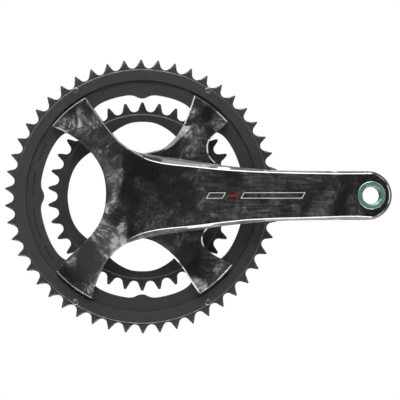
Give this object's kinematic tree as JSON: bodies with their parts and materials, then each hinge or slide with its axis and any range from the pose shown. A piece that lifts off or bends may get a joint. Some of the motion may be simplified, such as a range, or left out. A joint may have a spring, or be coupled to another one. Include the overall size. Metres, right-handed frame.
{
  "type": "bicycle crankset",
  "caption": "Right-hand carbon road crank with an integral four-arm spider, a large and a small chainring, a half-axle with face teeth and its bearing.",
  "frame": {"origin": "on the crank's axis at the end of the half-axle's face teeth, which is the bike's centre plane", "axes": "+Y along the axle, towards the bike's left side; +X along the crank arm, towards the pedal; +Z square to both, up when the arm points forwards"},
  "size_m": [0.2924, 0.073, 0.2094],
  "materials": {
    "carbon": "glossy marbled carbon",
    "alloy": "machined",
    "green_alloy": "green anodised",
    "steel": "bright",
    "bearing_steel": "ground",
    "cage_nylon": "moulded nylon",
    "seal_rubber": "moulded rubber",
    "ring_alloy": "dark satin anodised",
    "bolt_steel": "black oxide"
  },
  "bodies": {
    "bearing_seat": {"bearing_outer_race": "bearing_steel", "bearing_seal_inner": "seal_rubber", "bearing_seal_outer": "seal_rubber"},
    "crank": {"crank_arm": "carbon", "pedal_insert": "alloy", "pedal_washer": "green_alloy", "axle_socket": "alloy", "half_axle": "steel", "bearing_inner_race": "bearing_steel", "dust_seal": "seal_rubber", "big_chainring": "ring_alloy", "small_chainring": "ring_alloy", "big_ring_bolts": "bolt_steel", "small_ring_bolts": "bolt_steel", "big_ring_inserts": "alloy", "small_ring_inserts": "alloy", "upshift_pins": "steel", "chain_catch_pin": "steel"},
    "ball_set": {"bearing_balls": "bearing_steel", "bearing_cage": "cage_nylon"}
  },
  "joints": [
    {"name": "crank_spin", "type": "hinge", "parent": "bearing_seat", "child": "crank", "pos_m": [0, -0.04125, 0], "axis": [0, 1, 0], "continuous": true},
    {"name": "cage_roll", "type": "hinge", "parent": "bearing_seat", "child": "ball_set", "pos_m": [0, -0.04125, 0], "axis": [0, 1, 0], "continuous": true}
  ],
  "couplings": [
    {"joint": "cage_roll", "follows": "crank_spin", "ratio": 0.44355}
  ]
}
